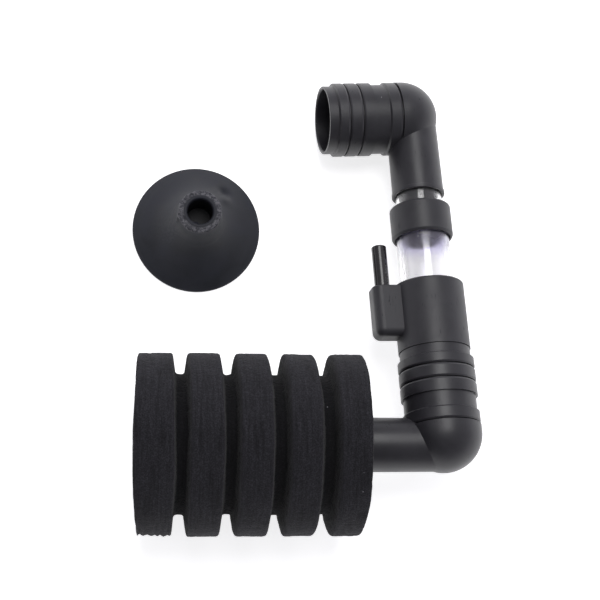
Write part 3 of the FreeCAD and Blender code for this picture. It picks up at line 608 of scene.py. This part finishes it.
def cup_outline():
    """The cup's outline as rows of (radius, height) from the middle of the hollow, round the rim
    and over the cone and neck, to the middle of the hole's floor. The hollow falls as a power of
    the radius, the cone climbs faster near its top, the neck's radius falls as a power of the
    height left, and each row is averaged with its two neighbours. The second result is the name
    of the stretch that each row belongs to."""
    rim_inner = CUP_RIM - 1.0 * MM
    foot = CUP_NECK + 1.7 * MM
    neck = CUP_NECK - 0.3 * MM
    neck_top = neck - 0.5 * MM
    hole_mouth = CUP_HOLE + 0.4 * MM
    chamfer = 0.5 * MM
    stretches = [
        ("hollow", 34, lambda s: rim_inner * s, lambda s: CUP_HOLLOW * (1 - s ** 1.6)),
        ("seat", 4, lambda s: rim_inner + (CUP_RIM - rim_inner) * s, lambda s: 0 * s),
        ("lip", 4, lambda s: CUP_RIM + 0 * s, lambda s: CUP_LIP * s),
        ("cone", 44, lambda s: CUP_RIM + (foot - CUP_RIM) * s,
         lambda s: CUP_LIP + (CUP_SHOULDER - CUP_LIP) * (0.78 * s + 0.22 * s ** 4)),
        ("neck", 34, lambda s: neck + (foot - neck) * (1 - s) ** 3.5,
         lambda s: CUP_SHOULDER + (CUP_TOP - chamfer - CUP_SHOULDER) * s),
        ("rim", 8, lambda s: neck + (neck_top - neck) * s ** 2,
         lambda s: CUP_TOP - chamfer * (1 - s) ** 2),
        ("land", 8, lambda s: neck_top + (hole_mouth - neck_top) * s, lambda s: CUP_TOP + 0 * s),
        ("mouth", 4, lambda s: hole_mouth + (CUP_HOLE - hole_mouth) * s,
         lambda s: CUP_TOP - chamfer * s),
        ("hole", 26, lambda s: CUP_HOLE + 0 * s,
         lambda s: CUP_TOP - chamfer - (CUP_HOLE_DEPTH - chamfer) * s),
        ("floor", 10, lambda s: CUP_HOLE * (1 - s), lambda s: CUP_TOP - CUP_HOLE_DEPTH + 0 * s),
    ]
    runs = []
    names = []
    for name, count, radius, height in stretches:
        share = np.arange(count) / count
        runs.append(np.stack([radius(share), height(share)], axis=1))
        names += [name] * count
    rows = np.concatenate(runs)
    softened = rows.copy()
    softened[1:-1] = 0.25 * rows[:-2] + 0.5 * rows[1:-1] + 0.25 * rows[2:]
    return softened, np.array(names)


def bump_at(across, along, width, length):
    """A bell-shaped bump from 0 to 1, of the given half width and half length."""
    return np.exp(-(across / width) ** 2 - (along / length) ** 2)


def cup_surface():
    """The outline turned about the cup's axis, made uneven as soft rubber is: a slow warp of the
    cone, a chewed rim at the neck's top, a rib of flash down the neck's -X side, a pinched fold
    beside a ridge on the cone, and a lump inside the hole's mouth. The first row is all one point,
    and the last is level. The second and third results are each point's wear and how deep in the
    hole it is, from 0 to 1."""
    outline, stretch = cup_outline()
    around = 240
    turn = np.arange(around) / around * 2 * math.pi
    radius = np.repeat(outline[:, :1], around, axis=1)
    height = np.repeat(outline[:, 1:], around, axis=1)
    on_top = ~np.isin(stretch, ("hollow", "seat", "lip"))[:, None]
    on_cone = (stretch == "cone")[:, None]
    past_neck = np.isin(stretch, ("land", "mouth", "hole", "floor"))[:, None]
    in_hole = past_neck & (radius < CUP_HOLE + 1.2 * MM)
    flat = np.stack([radius * np.cos(turn), radius * np.sin(turn), height], axis=-1)

    slow = soft_noise(flat, 9.0 * MM, 71)
    fine = soft_noise(flat, 1.3 * MM, 81)
    from_rim = np.minimum(1, (CUP_RIM - radius) / (3.6 * MM))
    height = height + np.where(on_cone, slow * CUP_WARP * from_rim, 0)
    near_top = smooth_step((height - CUP_TOP + 2.5 * MM) / (2.5 * MM)) * ~in_hole
    height = height - near_top * (0.22 + 0.24 * fine + 0.22 * slow) * MM
    radius = radius + np.where(on_top & ~in_hole, near_top * (0.25 + 0.30 * fine) * MM, 0)

    def angle_from(degrees):
        return ((turn - math.radians(degrees) + math.pi) % (2 * math.pi) - math.pi)[None, :]

    rib = bump_at(angle_from(191), height - CUP_TOP + 4.5 * MM, 0.10, 3.6 * MM)
    radius = radius + np.where(on_top & ~in_hole, rib * CUP_FLASH, 0)
    fold = bump_at(angle_from(52), radius - 15.4 * MM, 0.13, 1.6 * MM)
    ridge = bump_at(angle_from(41), radius - 13.2 * MM, 0.17, 2.2 * MM)
    height = height + np.where(on_cone, CUP_RIDGE * ridge - CUP_FOLD * fold, 0)
    lump = bump_at(angle_from(252), height - CUP_TOP + 2.6 * MM, 0.32, 1.1 * MM)
    radius = radius - np.where(in_hole, lump * CUP_LUMP, 0)

    scuff = bump_at(angle_from(200), height - 15 * MM, 0.5, 6 * MM)
    wear = near_top * 0.95 + 0.12 * scuff * on_top
    points = np.stack([radius * np.cos(turn), radius * np.sin(turn), height], axis=-1)
    points[0] = (0.0, 0.0, outline[0, 1])
    points[-1, :, 2] = outline[-1, 1]
    sunk = smooth_step((CUP_TOP - 1.5 * MM - height) / (3.0 * MM)) * in_hole
    return points + np.array(CUP_MIDDLE), np.clip(wear, 0, 1), sunk


def cup_mesh():
    """The cup's grid as quads, with its first row joined into one point and its last closed by a
    fan round a point added at the middle of the hole's floor."""
    points, wear, sunk = cup_surface()
    rows, around = points.shape[:2]
    quads = ring_faces(rows, around, closed=False)
    first = points[0, 0]
    floor_middle = points[-1].mean(axis=0)
    vertices = np.concatenate([[first], points[1:].reshape(-1, 3), [floor_middle]])
    shifted = np.where(quads < around, 0, quads - around + 1)
    step = np.arange(around)
    start_fan = np.stack([0 * step, 1 + (step + 1) % around, 1 + step], axis=1)
    last_row = len(vertices) - 1 - around
    end_fan = np.stack([last_row + step, last_row + (step + 1) % around,
                        0 * step + len(vertices) - 1], axis=1)
    faces = start_fan.tolist() + shifted[around:].tolist() + end_fan.tolist()
    worn = np.concatenate([[0.0], wear[1:].reshape(-1), [0.0]])
    in_hole = np.concatenate([[0.0], sunk[1:].reshape(-1), [1.0]])
    return vertices, faces, worn, in_hole


cup_vertices, cup_faces, cup_wear, cup_in_hole = cup_mesh()
cup = add_piece("suction_cup_rubber", cup_vertices, cup_faces)
cup.data.attributes.new("wear", "FLOAT", "POINT").data.foreach_set("value", cup_wear)
cup.data.attributes.new("in_hole", "FLOAT", "POINT").data.foreach_set("value", cup_in_hole)


def rubber_material():
    """Dark rubber with a dull bloom that changes its tone and gloss. The wear attribute makes it
    paler, in chips, and lumpier, and the in_hole attribute makes it an even dark grey."""
    material, tree, shader, place = new_material("cup_rubber")
    bloom = node(tree, "ShaderNodeTexNoise", {
        "Vector": place, "Scale": 95.0, "Detail": 5.0, "Roughness": 0.55, "Distortion": 0.4})
    grain = node(tree, "ShaderNodeTexNoise", {"Vector": place, "Scale": 3500.0, "Detail": 2.0})
    chips = node(tree, "ShaderNodeTexNoise", {
        "Vector": place, "Scale": 1100.0, "Detail": 4.0, "Roughness": 0.7})
    wear = node(tree, "ShaderNodeAttribute", attribute_name="wear")
    broken = node(tree, "ShaderNodeMapRange", {
        "Value": chips.outputs["Fac"], "From Min": 0.42, "From Max": 0.66, "To Min": 0.12})
    rubbed = node(tree, "ShaderNodeMath", {0: wear.outputs["Fac"], 1: broken.outputs[0]},
                  operation="MULTIPLY")
    base = ramp(tree, bloom.outputs["Fac"], [
        (0.32, (0.0110, 0.0122, 0.0170)), (0.68, (0.0200, 0.0215, 0.0300))])
    hole = node(tree, "ShaderNodeAttribute", attribute_name="in_hole")
    dark = mix(tree, hole.outputs["Fac"], base, (0.014, 0.014, 0.017))
    worn = mix(tree, rubbed.outputs[0], dark, (0.16, 0.157, 0.172))
    dusty = mix(tree, dust_and_glints_on(tree, place, 1 / (6.0 * MM), 0.028, 0.3), worn, (0.3, 0.3, 0.32))
    tree.links.new(dusty, shader.inputs["Base Color"])
    rough = node(tree, "ShaderNodeMapRange", {
        "Value": bloom.outputs["Fac"], "From Min": 0.3, "From Max": 0.7, "To Min": 0.50, "To Max": 0.66})
    tree.links.new(rough.outputs[0], shader.inputs["Roughness"])
    chewed = node(tree, "ShaderNodeMath", {0: chips.outputs["Fac"], 1: wear.outputs["Fac"]},
                  operation="MULTIPLY")
    relief = node(tree, "ShaderNodeMath", {0: chewed.outputs[0], 1: 9.0, 2: grain.outputs["Fac"]},
                  operation="MULTIPLY_ADD")
    bump = node(tree, "ShaderNodeBump", {
        "Height": relief.outputs[0], "Strength": 0.9, "Distance": 0.03 * MM})
    tree.links.new(bump.outputs["Normal"], shader.inputs["Normal"])
    shader.inputs["Specular IOR Level"].default_value = 0.3
    return material


cup.data.materials.append(rubber_material())
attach(cup, "suction_cup")
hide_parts("suction_cup")


# ---- the studio -------------------------------------------------------------------------------
# A white table top that runs out of sight, one large softbox overhead and a little to the far
# side, and a sky that is pale at the horizon, most of all on the far side, and dark overhead.

def add_floor():
    """A disc of near-white matte board under the filter, a hair below its lowest point. It glows,
    so that it stays white in the shade of the pieces."""
    spokes = np.arange(96) / 96 * 2 * math.pi
    floor_radius = 6.0
    ring = np.stack([np.cos(spokes), np.sin(spokes), 0 * spokes], axis=1) * floor_radius
    ring[:, 2] = -0.05 * MM
    floor = add_piece("floor", ring, [list(range(96))])
    material, tree, shader, place = new_material("white_board")
    paper = node(tree, "ShaderNodeTexNoise", {"Vector": place, "Scale": 40.0, "Detail": 4.0})
    tree.links.new(ramp(tree, paper.outputs["Fac"], [(0.3, 0.93), (0.7, 0.95)]),
                   shader.inputs["Base Color"])
    shader.inputs["Roughness"].default_value = 0.9
    shader.inputs["Specular IOR Level"].default_value = 0.1
    shader.inputs["Emission Color"].default_value = (1.0, 1.0, 1.0, 1.0)
    shader.inputs["Emission Strength"].default_value = 0.72
    floor.data.materials.append(material)


def add_softbox(name, direction, distance, width, height, power):
    """A rectangular soft light at a distance from the origin, facing it."""
    light = bpy.data.lights.new(name, "AREA")
    light.shape = "RECTANGLE"
    light.size = width
    light.size_y = height
    light.energy = power
    lamp = bpy.data.objects.new(name, light)
    away = Vector(direction).normalized()
    lamp.location = away * distance
    lamp.rotation_euler = away.to_track_quat("Z", "Y").to_euler()
    bpy.context.scene.collection.objects.link(lamp)


def add_sky():
    """A pale ring of sky at the horizon that turns dark overhead. Its grey is the sum of three
    shades, held above a least value: one falls with height, one rises from the near side to the
    far side, and one rises a little from left to right."""
    world = bpy.data.worlds.new("studio_sky")
    world.use_nodes = True
    tree = world.node_tree
    tree.nodes.clear()
    direction = node(tree, "ShaderNodeTexCoord").outputs["Generated"]
    along = node(tree, "ShaderNodeSeparateXYZ", {"Vector": direction})
    across = node(tree, "ShaderNodeMapRange", {
        "Value": along.outputs["X"], "From Min": -0.9, "From Max": 0.9, "To Min": -0.15, "To Max": 0.18})
    far = node(tree, "ShaderNodeMapRange", {
        "Value": along.outputs["Y"], "From Min": -0.8, "From Max": 0.8, "To Min": 0.12, "To Max": 0.62})
    level = node(tree, "ShaderNodeMapRange", {
        "Value": along.outputs["Z"], "From Min": 0.02, "From Max": 0.35, "To Min": 0.75, "To Max": 0.0})
    sideways = node(tree, "ShaderNodeMath", {0: across.outputs[0], 1: far.outputs[0]}, operation="ADD")
    summed = node(tree, "ShaderNodeMath", {0: sideways.outputs[0], 1: level.outputs[0]}, operation="ADD")
    grey = node(tree, "ShaderNodeMath", {0: summed.outputs[0], 1: 0.03}, operation="MAXIMUM")
    tinted = node(tree, "ShaderNodeVectorMath", {0: (0.97, 0.96, 1.04)}, operation="SCALE")
    tree.links.new(grey.outputs[0], tinted.inputs["Scale"])
    sky = node(tree, "ShaderNodeBackground", {"Color": tinted.outputs["Vector"], "Strength": 1.0})
    node(tree, "ShaderNodeOutputWorld", {"Surface": sky.outputs["Background"]})
    bpy.context.scene.world = world


def add_camera():
    """A long lens that looks down on the filter, a little from the left and from the near side."""
    aim = Vector((1.3, 3.6, 0.0)) * MM
    distance = 521.2 * MM
    turned = (Matrix.Rotation(math.radians(-7.12), 3, "Y") @ Matrix.Rotation(math.radians(11.23), 3, "X")
              @ Matrix.Rotation(math.radians(-0.55), 3, "Z"))
    camera = bpy.data.objects.new("camera", bpy.data.cameras.new("camera"))
    camera.data.lens = 87.6
    camera.data.sensor_width = 36.0
    camera.data.clip_start = 0.01
    camera.location = aim + turned @ Vector((0.0, 0.0, distance))
    camera.rotation_euler = turned.to_euler()
    bpy.context.scene.collection.objects.link(camera)
    bpy.context.scene.camera = camera


add_floor()
add_sky()
add_softbox("key_softbox", (0.02, 0.34, 0.94), 1.0, 0.46, 0.62, 4.2)
add_camera()
bpy.context.scene.view_settings.view_transform = "Standard"
